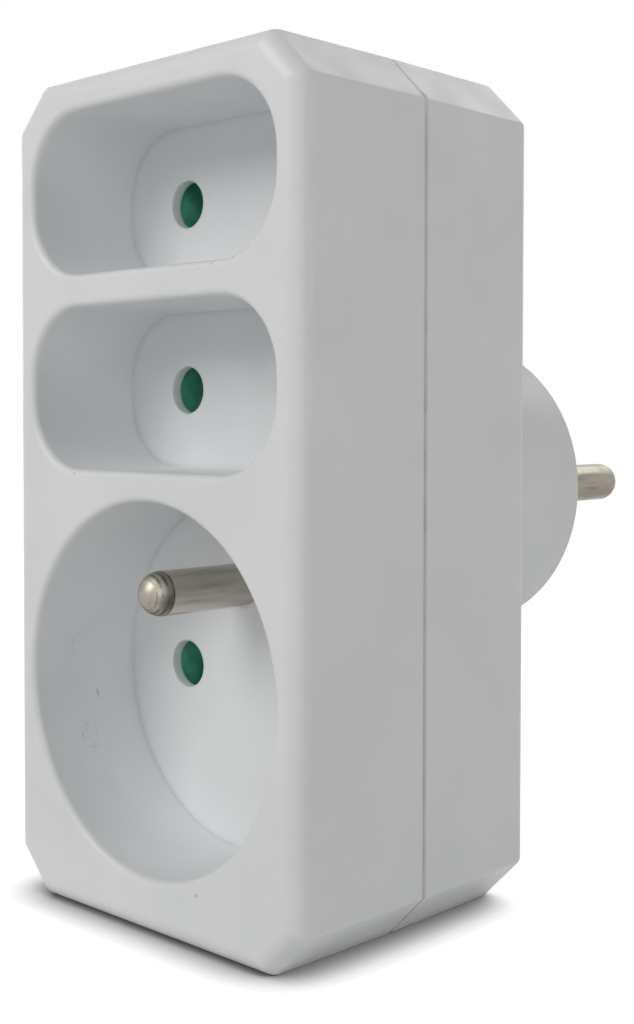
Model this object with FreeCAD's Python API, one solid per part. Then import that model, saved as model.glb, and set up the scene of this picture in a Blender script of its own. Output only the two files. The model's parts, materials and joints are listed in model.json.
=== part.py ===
"""Triple mains adapter: two flat two-pin sockets and one earthed socket, on a round two-pin plug.

Millimetres. X is right and Z is up, and the sockets face -Y. The origin is the centre of the bottom
end face, on the plane where the two shells meet. The adapter stands on that end.
"""
import FreeCAD, Part
import math
import os

from FreeCAD import Vector

# Shells: one octagonal box in two halves, whose long sides have a slight draft away from the joint
front_depth = 18.0
rear_depth = 18.0
corner_cut = 4.8
corner_radius = 0.5
draft = 0.3
front_edge_radius = 2.2
rear_edge_radius = 1.6
joint_bevel = 0.2
wall = 2.4
front_wall = 2.0
rear_wall = 2.2
lip_height = 1.0
lip_gap = 0.15

# Pin system
pin_pitch = 19.0
pin_radius = 2.4
earth_offset = 10.0
entry_gap = 0.3
press_gap = 0.05

# Sockets: wells, their floors and the land that is left around them
round_radius = 19.7
pocket_height = 17.7
pocket_inset = 0.15
pocket_flat = 0.9
well_depth = 14.3
well_wall = 1.5
well_floor = 1.3
rim_radius = 0.8
side_land = 3.55
bottom_land = 6.05
round_land = 3.15
pocket_land = 3.6
top_land = 3.9

# Plug body and pins
plug_radius = 18.0
plug_length = 17.7
plug_wall = 2.2
face_thickness = 2.5
plug_rim_radius = 0.8
plug_pin_length = 19.0
pin_shank_radius = 2.0
pin_root_radius = 2.6
collar_radius = 3.4
collar_length = 3.0
sleeve_boss_wall = 1.1
boss_gap = 0.1
boss_web = 1.2
pin_boss_length = 6.2
earth_boss_length = 9.2

# Shutters: sliding blocks with a ramp behind each hole
slide_gap = 0.2
shutter_depth = 4.8
shutter_half_height = 3.9
shutter_travel = 5.6
shutter_margin = 0.1
ramp_drop = 3.6
shutter_web = 2.2
ramp_lip = 0.5
lug_length = 3.4
lug_drop = 3.3
guide_gap = 0.15
guide_width = 1.2

# Return springs
spring_length = 14.0
spring_outer_radius = 1.2
wire_radius = 0.17
spring_turns = 6
spigot_radius = 0.65
spigot_length = 1.6
post_length = 2.0

# Plate behind the shutters
plate_thickness = 1.5
plate_gap = 0.3
plate_rib = 1.1

# Strips, clips and rivets
strip_thickness = 0.8
strip_width = 7.0
strip_gap = 0.1
strip_offset = 3.6
strip_over = 5.0
tab_height = 7.5
tab_bend_radius = 0.7
clip_thickness = 0.5
clip_length = 6.4
clip_pinch = 0.15
clip_flare = 0.75
clip_root_flare = 0.95
clip_reach = 2.9
rivet_radius = 0.8
rivet_head_radius = 1.4
rivet_head_height = 0.4
rivet_gap = 0.05
seat_depth = 3.0
seat_width = 3.0
seat_cheek = 0.8
seat_gap = 0.3

# Earth path
strap_width = 6.0
strap_thickness = 0.8
strap_step = 8.7
tail_radius = 1.5
tail_head_radius = 2.3
tail_head_height = 0.8
sleeve_wall = 0.6
sleeve_gap = 0.05
sleeve_base = 1.5
sleeve_slot_width = 0.8
sleeve_slot_length = 11.0

# Housing screws
screw_radius = 1.45
screw_gap = 0.2
thread_gap = 0.05
screw_head_radius = 2.6
screw_head_height = 1.9
screw_head_gap = 0.2
screw_head_bevel = 0.5
screw_bite = 9.0
screw_recess = 6.0
front_boss_radius = 2.4
rear_boss_radius = 3.4
lower_screw_inset = 6.45
lower_screw_rise = 7.2
strip_screw_gap = 0.7
slot_width = 0.8
slot_depth = 0.9

# Barrier walls between the live, earth and neutral chambers
barrier_x = 5.0
barrier_thickness = 1.2
barrier_gap = 0.3

# Outside of the body and heights of the centre lines, worked out from the wells that it holds
body_width = 2 * (round_radius + side_land)
pocket_width = 2 * (round_radius - pocket_inset)
pocket_radius = pocket_height / 2 - pocket_flat
round_z = bottom_land + round_radius
middle_z = round_z + round_radius + round_land + pocket_height / 2
top_z = middle_z + pocket_height + pocket_land
body_height = top_z + pocket_height / 2 + top_land
plug_z = body_height / 2

# Places worked out from the sizes
front_y = -front_depth
back_y = rear_depth
mating_y = back_y + plug_length
floor_y = front_y + well_depth
floor_back_y = floor_y + well_floor
shutter_front_y = floor_back_y + slide_gap
shutter_back_y = shutter_front_y + shutter_depth
plate_front_y = shutter_back_y + slide_gap
plate_back_y = plate_front_y + plate_thickness
rear_inside_y = back_y - rear_wall
plug_inside_y = mating_y - face_thickness
bore_radius = plug_radius - plug_wall
pin_x = pin_pitch / 2
hole_radius = pin_radius + entry_gap
strip_x = pin_x + strip_offset
clip_rise = pin_radius - clip_pinch + clip_root_flare + clip_thickness
strip_front_y = plate_back_y + plate_rib + strip_gap
strip_back_y = strip_front_y + strip_width
rivet_y = (strip_front_y + strip_back_y) / 2
barrier_front_y = rivet_y + clip_length / 2 + barrier_gap
tab_front_y = strip_back_y - strip_thickness / 2
tab_back_y = tab_front_y + strip_thickness
cover_earth_z = round_z + earth_offset
plug_earth_z = plug_z + earth_offset
strap_front_y = plate_back_y + strip_gap
strap_back_y = strap_front_y + strap_step
socket_heights = {"top": top_z, "middle": middle_z, "round": round_z}
between_z = (top_z + middle_z) / 2
lower_screw_x = body_width / 2 - lower_screw_inset
upper_screw_x = strip_x + strip_thickness + strip_screw_gap + rear_boss_radius
screw_places = [
    (side * x, z)
    for x, z in ((lower_screw_x, lower_screw_rise), (upper_screw_x, between_z))
    for side in (-1, 1)
]
seat_heights = [between_z, round_z + clip_rise + seat_gap + seat_width / 2]
axis_y = Vector(0, 1, 0)


def box(x0, x1, y0, y1, z0, z1):
    """Block between two corners."""
    return Part.makeBox(x1 - x0, y1 - y0, z1 - z0, Vector(x0, y0, z0))


def rod(radius, y0, y1, x, z):
    """Round bar along Y."""
    return Part.makeCylinder(radius, y1 - y0, Vector(x, y0, z), axis_y)


def cross_rod(radius, x0, x1, y, z):
    """Round bar along X."""
    return Part.makeCylinder(radius, x1 - x0, Vector(x0, y, z), Vector(1, 0, 0))


def extruded(edges, y0, y1):
    """Closed outline, drawn at y0, pulled to y1."""
    face = Part.Face(Part.Wire(Part.__sortEdges__(edges)))
    return face.extrude(Vector(0, y1 - y0, 0))


def octagon(inset, taper, y):
    """Corners of the box at a distance along Y, moved in all round by inset and at the sides by taper."""
    half = body_width / 2 - inset - taper
    low = inset
    high = body_height - inset
    cut = corner_cut - inset * (2 - math.sqrt(2))
    points = [
        (half, low + cut),
        (half, high - cut),
        (half - cut, high),
        (cut - half, high),
        (-half, high - cut),
        (-half, low + cut),
        (cut - half, low),
        (half - cut, low),
    ]
    return [Vector(x, y, z) for x, z in points]


def flat_face(corners):
    """Flat face with straight edges."""
    return Part.Face(Part.makePolygon(corners + corners[:1]))


def drafted_box(inset, y0, y1, taper):
    """Octagonal block whose long sides lean in by taper from y0 to y1."""
    ends = sorted(((y0, 0), (y1, taper)))
    front, back = (octagon(inset, end_taper, y) for y, end_taper in ends)
    faces = [flat_face(front), flat_face(back[::-1])]
    for i in range(len(front)):
        j = (i + 1) % len(front)
        faces.append(flat_face([front[i], back[i], back[j], front[j]]))
    return Part.makeSolid(Part.makeShell(faces))


def edges_at(shape, y):
    """Edges that lie flat at one place along Y."""
    return [e for e in shape.Edges if all(abs(v.Point.y - y) < 1e-4 for v in e.Vertexes)]


def long_edges(shape, depth):
    """Edges that run from the joint to the far face."""
    return [e for e in shape.Edges if abs(e.Vertexes[0].Point.y - e.Vertexes[-1].Point.y) > depth / 2]


def rounded(shape, radii):
    """Shape with its edges rounded in one go, from (edges, radius) pairs."""
    document = FreeCAD.newDocument("rounding")
    base = document.addObject("Part::Feature", "base")
    base.Shape = shape
    fillet = document.addObject("Part::Fillet", "fillet")
    fillet.Base = base
    numbered = []
    for edges, radius in radii:
        for number, edge in enumerate(shape.Edges, 1):
            if any(edge.isSame(wanted) for wanted in edges):
                numbered.append((number, radius, radius))
    fillet.Edges = numbered
    document.recompute()
    result = fillet.Shape.copy()
    FreeCAD.closeDocument(document.Name)
    return result


def outer_form(y_far, edge_radius):
    """Outside of one shell: drafted, rounded corners and far edge, bevelled joint edge."""
    form = drafted_box(0, 0, y_far, draft)
    corners = long_edges(form, abs(y_far))
    form = rounded(form, [(corners, corner_radius), (edges_at(form, y_far), edge_radius)])
    return form.makeChamfer(joint_bevel, edges_at(form, 0))


def rounded_outline(width, height, radius, y, z):
    """Edges of a rounded rectangle about x = 0 and the height z."""
    half = width / 2
    rise = height / 2
    turn = radius * (1 - math.sqrt(0.5))
    edges = []
    for sx, sz in ((1, 1), (-1, 1), (-1, -1), (1, -1)):
        side = Vector(sx * half, y, z + sz * (rise - radius))
        mid = Vector(sx * (half - turn), y, z + sz * (rise - turn))
        top = Vector(sx * (half - radius), y, z + sz * rise)
        edges.append(Part.Arc(side, mid, top).toShape())
    for s in (1, -1):
        edges.append(Part.makeLine((half - radius, y, z + s * rise), (radius - half, y, z + s * rise)))
        edges.append(Part.makeLine((s * half, y, z + rise - radius), (s * half, y, z - rise + radius)))
    return edges


def well_form(name, grow, y0, y1):
    """Space of one socket well, made larger all round by grow."""
    z = socket_heights[name]
    if name == "round":
        return rod(round_radius + grow, y0, y1, 0, z)
    outline = rounded_outline(
        pocket_width + 2 * grow, pocket_height + 2 * grow, pocket_radius + grow, y0, z
    )
    return extruded(outline, y0, y1)


def make_front_cover():
    """Front shell: drafted box with the walls of three wells and four screw bosses."""
    cover = outer_form(front_y, front_edge_radius)
    lip_wall = wall / 2 - lip_gap
    lip = drafted_box(wall - lip_wall, 0, lip_height, 0)
    cover = cover.fuse(lip)
    cavity = drafted_box(wall, lip_height, front_y + front_wall, draft)
    cover = cover.cut(cavity)
    for name in socket_heights:
        cover = cover.fuse(well_form(name, well_wall, front_y + front_wall, floor_back_y))
    for x, z in screw_places:
        cover = cover.fuse(rod(front_boss_radius, front_y + front_wall, plate_front_y, x, z))
    wells = [well_form(name, 0, front_y, floor_back_y) for name in socket_heights]
    cover = cover.cut(wells)
    rims = []
    for well in wells:
        for edge in edges_at(well, front_y):
            middle = edge.valueAt((edge.FirstParameter + edge.LastParameter) / 2)
            rims += [
                e
                for e in edges_at(cover, front_y)
                if (e.valueAt((e.FirstParameter + e.LastParameter) / 2) - middle).Length < 1e-3
            ]
    cover = cover.makeFillet(rim_radius, rims)
    thread_radius = screw_radius + thread_gap
    threads = [
        rod(thread_radius, plate_front_y - screw_bite, plate_front_y + 1, x, z) for x, z in screw_places
    ]
    return cover.cut(threads)


def make_socket_floor(name):
    """Floor of one well, with its pin holes and the seat of the earth pin in the round one."""
    z = socket_heights[name]
    holes = [rod(hole_radius, floor_y - 1, floor_back_y + 1, side * pin_x, z) for side in (-1, 1)]
    if name == "round":
        holes.append(rod(pin_root_radius + press_gap, floor_y - 1, floor_back_y + 1, 0, cover_earth_z))
    return well_form(name, 0, floor_y, floor_back_y).cut(holes)


def make_rear_housing():
    """Rear shell: drafted box with a round hole to the plug body, screw bosses and strip seats."""
    housing = outer_form(back_y, rear_edge_radius)
    cavity = drafted_box(wall, 0, rear_inside_y, draft)
    rebate = drafted_box(wall / 2, 0, lip_height + lip_gap, 0)
    hollow = rod(bore_radius, rear_inside_y - 1, back_y + 1, 0, plug_z)
    housing = housing.cut([cavity, rebate, hollow])
    solids = []
    for x, z in screw_places:
        solids.append(rod(rear_boss_radius, plate_back_y, rear_inside_y + rear_wall / 2, x, z))
    for side in (-1, 1):
        for z in seat_heights:
            x = side * (strip_x + strip_thickness / 2)
            reach = strip_thickness / 2 + seat_cheek
            seat_y = strip_back_y - seat_depth
            low = z - seat_width / 2
            seat = box(x - reach, x + reach, seat_y, rear_inside_y + 1, low, low + seat_width)
            grip = strip_thickness / 2 + strip_gap
            slot = box(x - grip, x + grip, seat_y, strip_back_y, z - seat_width, z + seat_width)
            solids.append(seat.cut(slot))
    housing = housing.fuse(solids)
    cuts = []
    for x, z in screw_places:
        head_y = back_y - screw_recess
        cuts.append(rod(screw_head_radius + screw_head_gap, head_y, back_y + 1, x, z))
        cuts.append(rod(screw_radius + screw_gap, plate_back_y - 1, back_y, x, z))
    return housing.cut(cuts)


def make_plug_body():
    """Round plug body on the back: tube with its face, bosses on webs, and walls between the poles."""
    plug = rod(plug_radius, back_y, mating_y, 0, plug_z)
    plug = plug.makeFillet(plug_rim_radius, edges_at(plug, mating_y))
    plug = plug.cut(rod(bore_radius, back_y - 1, plug_inside_y, 0, plug_z))
    boss_radius = collar_radius + boss_gap + sleeve_boss_wall
    boss_y = plug_inside_y - pin_boss_length
    sleeve_space = pin_radius + sleeve_gap + sleeve_wall + boss_gap
    earth_boss_y = plug_inside_y - earth_boss_length
    into_face = plug_inside_y + face_thickness / 2
    web = boss_web / 2
    solids = [
        rod(sleeve_space + sleeve_boss_wall, earth_boss_y, into_face, 0, plug_earth_z),
        box(-web, web, earth_boss_y, into_face, plug_earth_z, plug_z + bore_radius + plug_wall / 2),
    ]
    inside = rod(bore_radius, barrier_front_y, into_face, 0, plug_z)
    half = barrier_thickness / 2
    for side in (-1, 1):
        x = side * pin_x
        solids.append(rod(boss_radius, boss_y, into_face, x, plug_z))
        x0, x1 = sorted((x, side * (bore_radius + plug_wall / 2)))
        solids.append(box(x0, x1, boss_y, into_face, plug_z - web, plug_z + web))
        x = side * barrier_x
        low = plug_z - plug_radius
        barrier = box(x - half, x + half, barrier_front_y, into_face, low, low + 2 * plug_radius)
        solids.append(barrier.common(inside))
    plug = plug.fuse(solids)
    seat_radius = pin_root_radius + press_gap
    cuts = [
        rod(sleeve_space, earth_boss_y - 1, plug_inside_y, 0, plug_earth_z),
        rod(hole_radius, plug_inside_y - 1, mating_y + 1, 0, plug_earth_z),
    ]
    for side in (-1, 1):
        cuts.append(rod(collar_radius + boss_gap, boss_y - 1, plug_inside_y, side * pin_x, plug_z))
        cuts.append(rod(seat_radius, plug_inside_y - 1, mating_y + 1, side * pin_x, plug_z))
    return plug.cut(cuts)


def shutter_edges():
    """Places along X of the blocks and the window of a shutter."""
    left = -pin_x - hole_radius - shutter_margin
    left_block = -pin_x + hole_radius + shutter_margin
    window = pin_x - hole_radius - shutter_margin - shutter_travel
    right_block = pin_x - hole_radius - shutter_margin
    right = pin_x + hole_radius + shutter_margin
    return left, left_block, window, right_block, right


def ramp_block(x0, x1, z):
    """Block with a ramp that runs deeper towards -X, so that a pin drives it to +X."""
    low = z - shutter_half_height
    outline = [
        Vector(x0, shutter_front_y + ramp_drop, low),
        Vector(x1 - ramp_lip, shutter_front_y, low),
        Vector(x1, shutter_front_y, low),
        Vector(x1, shutter_back_y, low),
        Vector(x0, shutter_back_y, low),
    ]
    return flat_face(outline).extrude(Vector(0, 0, 2 * shutter_half_height))


def make_shutter(name):
    """Green shutter: two ramp blocks, a web and window rails, and a lug for the spring."""
    z = socket_heights[name]
    left, left_block, window, right_block, right = shutter_edges()
    low = z - shutter_half_height
    high = z + shutter_half_height
    web_y = shutter_back_y - shutter_web
    body = ramp_block(left, left_block, z)
    body = body.fuse(ramp_block(right_block, right, z))
    body = body.fuse(box(left_block, right_block, web_y, shutter_back_y, low, high))
    body = body.cut(
        box(window, right_block, shutter_front_y, shutter_back_y + 1, z - hole_radius, z + hole_radius)
    )
    lug_x = -spring_length / 2
    lug = box(lug_x - lug_length, lug_x, web_y, shutter_back_y, low - lug_drop, low + 1)
    spring_y, spring_z = spring_axis(name)
    spigot = cross_rod(spigot_radius, lug_x - 1, lug_x + spigot_length, spring_y, spring_z)
    return body.fuse([lug, spigot]).removeSplitter()


def spring_axis(name):
    """Height and depth of a spring's centre line."""
    y = shutter_back_y - shutter_web / 2 - slide_gap
    z = socket_heights[name] - shutter_half_height - lug_drop / 2
    return y, z


def make_spring(name):
    """Compression spring along X with closed ends, between the lug and the post."""
    y, z = spring_axis(name)
    coil_radius = spring_outer_radius - wire_radius
    length = spring_length - 2 * wire_radius
    pitch = length / spring_turns
    helix = Part.makeHelix(pitch, length, coil_radius)
    corners = [math.radians(60 * i) for i in range(6)]
    ring = Part.makePolygon(
        [
            Vector(coil_radius + wire_radius * math.cos(a), 0, wire_radius * math.sin(a))
            for a in corners + corners[:1]
        ]
    )
    coil = Part.Wire(helix.Edges).makePipeShell([ring], True, True)
    coil.rotate(Vector(0, 0, 0), Vector(0, 1, 0), 90)
    coil.translate(Vector(wire_radius - spring_length / 2, y, z))
    return coil


def make_inner_plate():
    """Plate behind the shutters, with guides and stops in front and strip ribs behind."""
    plate = drafted_box(wall + plate_gap + draft, plate_front_y, plate_back_y, 0)
    solids = []
    guide_y = floor_back_y + slide_gap
    reach = hole_radius + shutter_margin + pin_x
    for name, z in socket_heights.items():
        low = z - shutter_half_height
        high = z + shutter_half_height + guide_gap
        stop = -reach - guide_gap
        end = reach + shutter_travel + guide_gap
        rail = low - lug_drop - guide_gap
        post = spring_length / 2
        blocks = [
            (stop - guide_width, end + guide_width, high, high + guide_width),
            (stop - guide_width, stop, low, high + guide_width),
            (end, end + guide_width, low, high + guide_width),
            (stop, post + post_length, rail - guide_width, rail),
            (post, post + post_length, rail - guide_width, low - guide_gap),
        ]
        for x0, x1, z0, z1 in blocks:
            solids.append(box(x0, x1, guide_y, plate_front_y, z0, z1))
        spring_y, spring_z = spring_axis(name)
        solids.append(cross_rod(spigot_radius, post - spigot_length, post + 1, spring_y, spring_z))
    for side in (-1, 1):
        x = side * (strip_x + strip_thickness / 2)
        low = x - seat_cheek
        high = x + seat_cheek
        rib_y = plate_back_y + plate_rib
        for z in seat_heights:
            solids.append(box(low, high, plate_back_y, rib_y, z - seat_width, z + seat_width))
    plate = plate.fuse(solids)
    cuts = [
        rod(hole_radius, plate_front_y - 1, plate_back_y + 1, side * pin_x, z)
        for z in socket_heights.values()
        for side in (-1, 1)
    ]
    cuts.append(rod(tail_radius + press_gap, plate_front_y - 1, plate_back_y + 1, 0, cover_earth_z))
    for x, z in screw_places:
        cuts.append(rod(screw_radius + screw_gap, plate_front_y - 1, plate_back_y + 1, x, z))
    return plate.cut(cuts)


def make_busbar(side):
    """Brass strip on edge, with a bent tab that the plug pin is riveted to."""
    x0, x1 = sorted((side * strip_x, side * (strip_x + strip_thickness)))
    strip = box(x0, x1, strip_front_y, strip_back_y, round_z - strip_over, top_z + strip_over)
    low = plug_z - tab_height / 2
    high = plug_z + tab_height / 2
    inner = side * (pin_x - clip_reach)
    t0, t1 = sorted((inner, side * (strip_x + strip_thickness)))
    tab = box(t0, t1, tab_front_y, tab_back_y, low, high)
    tab = tab.fuse(box(x0, x1, strip_front_y, tab_back_y, low, high))
    corner = Vector(side * (strip_x + strip_thickness), tab_back_y, plug_z)
    reach = tab_height / 2 + 1e-4
    bend = [e for e in tab.Edges if all((v.Point - corner).Length < reach for v in e.Vertexes)]
    tab = tab.makeFillet(tab_bend_radius, bend)
    strip = strip.fuse(tab).removeSplitter()
    cuts = [rod(tail_radius + rivet_gap, tab_front_y - 1, tab_back_y + 1, side * pin_x, plug_z)]
    for z in socket_heights.values():
        cuts.append(cross_rod(rivet_radius + rivet_gap, x0 - 1, x1 + 1, rivet_y, z))
    return strip.cut(cuts)


def make_clip(side, z):
    """Sprung clip: a U whose jaws bow in to grip the pin, riveted to its strip."""
    y0 = rivet_y - clip_length / 2
    y1 = rivet_y + clip_length / 2
    pinch = pin_radius - clip_pinch
    root_out = strip_x
    root_in = strip_x - clip_thickness
    tip = pin_x - clip_reach

    def at(x, up):
        return Vector(side * x, y0, z + up)

    root = pinch + clip_root_flare
    edges = [
        Part.makeLine(at(root_out, -root - clip_thickness), at(root_out, root + clip_thickness)),
        Part.makeLine(at(root_in, -root), at(root_in, root)),
    ]
    for s in (1, -1):
        for x, inside in ((root_out, pinch + clip_thickness), (root_in, pinch)):
            start = at(x, s * (inside + clip_root_flare))
            end = at(tip, s * (inside + clip_flare))
            edges.append(Part.Arc(start, at(pin_x, s * inside), end).toShape())
        flare = pinch + clip_flare
        edges.append(Part.makeLine(at(tip, s * flare), at(tip, s * (flare + clip_thickness))))
    clip = extruded(edges, y0, y1)
    mouth_radius = pin_radius + clip_thickness
    mouth = Part.makeCone(mouth_radius, pinch, 2 * clip_thickness, Vector(side * pin_x, y0, z), axis_y)
    ends = sorted((side * (root_in - 1), side * (root_out + 1)))
    hole = cross_rod(rivet_radius + rivet_gap, ends[0], ends[1], rivet_y, z)
    return clip.cut([mouth, hole])


def make_clip_rivets():
    """Six rivets through the clips and the strips."""
    rivets = []
    for side in (-1, 1):
        for z in socket_heights.values():
            inner = strip_x - clip_thickness
            outer = strip_x + strip_thickness
            ends = sorted((side * inner, side * outer))
            shank = cross_rod(rivet_radius, ends[0], ends[1], rivet_y, z)
            low = cross_rod(rivet_head_radius, ends[0] - rivet_head_height, ends[0], rivet_y, z)
            high = cross_rod(rivet_head_radius, ends[1], ends[1] + rivet_head_height, rivet_y, z)
            rivets.append(shank.fuse([low, high]).removeSplitter())
    return Part.makeCompound(rivets)


def turned(points, x, z):
    """Turned piece about an axis along Y, from (radius, y) points."""
    corners = [Vector(radius, y, 0) for radius, y in points]
    piece = flat_face(corners).revolve(Vector(0, 0, 0), axis_y, 360)
    piece.translate(Vector(x, 0, z))
    return piece


def domed(pin, x, y, z):
    """Pin with a round tip added about the end of its shaft."""
    return pin.fuse(Part.makeSphere(pin_radius, Vector(x, y, z))).removeSplitter()


def make_plug_pin(side):
    """Plug pin: rounded tip, shank, collar behind the plug face and a riveted tail."""
    dome_y = mating_y + plug_pin_length - pin_radius
    collar_y = plug_inside_y - collar_length
    head_y = tab_front_y - tail_head_height
    pin = turned(
        [
            (0, head_y),
            (tail_head_radius, head_y),
            (tail_head_radius, tab_front_y),
            (tail_radius, tab_front_y),
            (tail_radius, tab_back_y),
            (pin_shank_radius, tab_back_y),
            (pin_shank_radius, collar_y),
            (collar_radius, collar_y),
            (collar_radius, plug_inside_y),
            (pin_root_radius, plug_inside_y),
            (pin_root_radius, mating_y),
            (pin_radius, mating_y),
            (pin_radius, dome_y),
            (0, dome_y),
        ],
        side * pin_x,
        plug_z,
    )
    return domed(pin, side * pin_x, dome_y, plug_z)


def make_earth_pin():
    """Earth pin of the round well: domed tip level with the front, collar and riveted tail."""
    dome_y = front_y + pin_radius
    strap_face = strap_front_y + strap_thickness
    head_y = strap_face + tail_head_height
    pin = turned(
        [
            (0, dome_y),
            (pin_radius, dome_y),
            (pin_radius, floor_y),
            (pin_root_radius, floor_y),
            (pin_root_radius, floor_back_y),
            (collar_radius, floor_back_y),
            (collar_radius, plate_front_y),
            (tail_radius, plate_front_y),
            (tail_radius, strap_face),
            (tail_head_radius, strap_face),
            (tail_head_radius, head_y),
            (0, head_y),
        ],
        0,
        cover_earth_z,
    )
    return domed(pin, 0, dome_y, cover_earth_z)


def make_earth_strap():
    """Stepped brass strap from the front earth pin to the rear earth sleeve."""
    half = strap_width / 2
    step_z = cover_earth_z + strap_width
    t = strap_thickness
    outline = [
        Vector(-half, strap_front_y, cover_earth_z - half),
        Vector(-half, strap_front_y, step_z + t),
        Vector(-half, strap_back_y, step_z + t),
        Vector(-half, strap_back_y, plug_earth_z + half),
        Vector(-half, strap_back_y + t, plug_earth_z + half),
        Vector(-half, strap_back_y + t, step_z),
        Vector(-half, strap_front_y + t, step_z),
        Vector(-half, strap_front_y + t, cover_earth_z - half),
    ]
    strap = flat_face(outline).extrude(Vector(strap_width, 0, 0))
    tips = (cover_earth_z - half, plug_earth_z + half)
    ends = [
        e
        for e in strap.Edges
        if e.Length < 2 * t and all(min(abs(v.Point.z - tip) for tip in tips) < 1e-4 for v in e.Vertexes)
    ]
    strap = strap.makeFillet(half - t / 2, ends)
    hole = tail_radius + rivet_gap
    return strap.cut(
        [
            rod(hole, strap_front_y - 1, strap_front_y + 2 * t, 0, cover_earth_z),
            rod(hole, strap_back_y - 1, strap_back_y + 2 * t, 0, plug_earth_z),
        ]
    )


def make_earth_sleeve():
    """Slotted sleeve behind the plug face, riveted to the strap."""
    inner = pin_radius + sleeve_gap
    outer = inner + sleeve_wall
    base_y = strap_back_y + strap_thickness
    head_y = strap_back_y - tail_head_height
    end_y = plug_inside_y - boss_gap
    sleeve = turned(
        [
            (0, head_y),
            (tail_head_radius, head_y),
            (tail_head_radius, strap_back_y),
            (tail_radius, strap_back_y),
            (tail_radius, base_y),
            (outer, base_y),
            (outer, end_y),
            (inner, end_y),
            (inner, base_y + sleeve_base),
            (0, base_y + sleeve_base),
        ],
        0,
        plug_earth_z,
    )
    half = sleeve_slot_width / 2
    reach = outer + 1
    slot_y = end_y - sleeve_slot_length
    slot = box(-half, half, slot_y, end_y + 1, plug_earth_z - reach, plug_earth_z + reach)
    return sleeve.cut(slot)


def make_housing_screws():
    """Four slotted screws from the back, through the rear bosses and the plate."""
    head_y = back_y - screw_recess
    screws = []
    for x, z in screw_places:
        shank = rod(screw_radius, plate_front_y - screw_bite + 1, head_y, x, z)
        head = rod(screw_head_radius, head_y, head_y + screw_head_height, x, z)
        head = head.makeChamfer(screw_head_bevel, edges_at(head, head_y + screw_head_height))
        screw = shank.fuse(head)
        top = head_y + screw_head_height
        low = z - slot_width / 2
        reach = screw_head_radius + 1
        slot = box(x - reach, x + reach, top - slot_depth, top + 1, low, low + slot_width)
        screws.append(screw.cut(slot))
    return Part.makeCompound(screws)


def make_all():
    """Every piece by its name."""
    parts = {
        "front_cover": make_front_cover(),
        "rear_housing": make_rear_housing(),
        "plug_body": make_plug_body(),
        "inner_plate": make_inner_plate(),
        "clip_rivets": make_clip_rivets(),
        "earth_pin": make_earth_pin(),
        "earth_strap": make_earth_strap(),
        "earth_sleeve": make_earth_sleeve(),
        "housing_screws": make_housing_screws(),
    }
    for pole, side in (("neutral", -1), ("live", 1)):
        parts[f"{pole}_busbar"] = make_busbar(side)
        parts[f"{pole}_plug_pin"] = make_plug_pin(side)
        for name, z in socket_heights.items():
            parts[f"{pole}_clip_{name}"] = make_clip(side, z)
    for name in socket_heights:
        parts[f"socket_floor_{name}"] = make_socket_floor(name)
        parts[f"shutter_{name}"] = make_shutter(name)
        parts[f"shutter_spring_{name}"] = make_spring(name)
    return parts


def main():
    os.makedirs("parts", exist_ok=True)
    for name, shape in make_all().items():
        print(name, len(shape.Solids), shape.isValid(), round(shape.Volume, 2))
        shape.exportStep(f"parts/{name}.step")


main()
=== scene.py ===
"""Looks of a triple mains adapter: moulded shells, sprung shutters, plated pins, stage, camera."""
import json
import math

import bpy
from bpy.props import FloatProperty, FloatVectorProperty, PointerProperty
from mathutils import Euler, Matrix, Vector


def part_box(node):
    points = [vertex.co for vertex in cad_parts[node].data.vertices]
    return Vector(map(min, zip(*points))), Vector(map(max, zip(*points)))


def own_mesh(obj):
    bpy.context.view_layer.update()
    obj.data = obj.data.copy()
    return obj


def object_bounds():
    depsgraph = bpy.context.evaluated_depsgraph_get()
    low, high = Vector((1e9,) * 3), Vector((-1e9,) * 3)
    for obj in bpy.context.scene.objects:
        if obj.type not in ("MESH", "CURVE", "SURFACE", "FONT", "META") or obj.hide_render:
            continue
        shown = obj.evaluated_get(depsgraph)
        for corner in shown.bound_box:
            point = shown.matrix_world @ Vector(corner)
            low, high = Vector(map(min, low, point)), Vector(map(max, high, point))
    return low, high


bl_info = {
    "name": "Triple mains adapter",
    "version": (1, 0, 0),
    "blender": (4, 5, 0),
    "location": "View3D > Sidebar > Adapter",
    "description": "Finishes a packed triple mains adapter and sets a pale studio round it",
    "category": "Object",
}

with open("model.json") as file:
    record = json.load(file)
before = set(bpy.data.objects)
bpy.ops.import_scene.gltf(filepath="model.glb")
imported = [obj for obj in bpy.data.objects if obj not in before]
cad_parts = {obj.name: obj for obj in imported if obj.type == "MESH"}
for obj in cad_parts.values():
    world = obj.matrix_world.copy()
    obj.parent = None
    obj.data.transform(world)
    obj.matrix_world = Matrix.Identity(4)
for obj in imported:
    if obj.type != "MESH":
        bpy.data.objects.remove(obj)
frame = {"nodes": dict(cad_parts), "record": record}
nodes = frame["nodes"]
cad_low, cad_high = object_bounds()
mounts = {mount["name"]: mount for mount in frame["record"]["mounts"]}

MM = 0.001
SOCKETS = ("top", "middle", "round")
HOLE_ZONE = 8.0  # millimetres round a pin hole's mount, within which its mouth is softened
PLASTIC_IOR = 1.53  # of ABS and of polyamide
SENSOR_WIDTH = 36.0  # millimetres, which the lens's focal length goes with
WELD_REACH = 0.002 * MM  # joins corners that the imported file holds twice, and nothing else
SHARP_ANGLE = math.radians(28)  # facets at a smaller angle than this are one curved surface

# Kinds of node that come often, and the settings that go with them
NOISE = "ShaderNodeTexNoise"
RANGE = "ShaderNodeMapRange"
MATH = "ShaderNodeMath"
VECTOR = "ShaderNodeVectorMath"
MIX = "ShaderNodeMix"
BUMP = "ShaderNodeBump"
SMOOTH = {"interpolation_type": "SMOOTHSTEP"}
COLOURS = {"data_type": "RGBA", "out": 2}  # share in input 0, colours in 6 and 7


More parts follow.
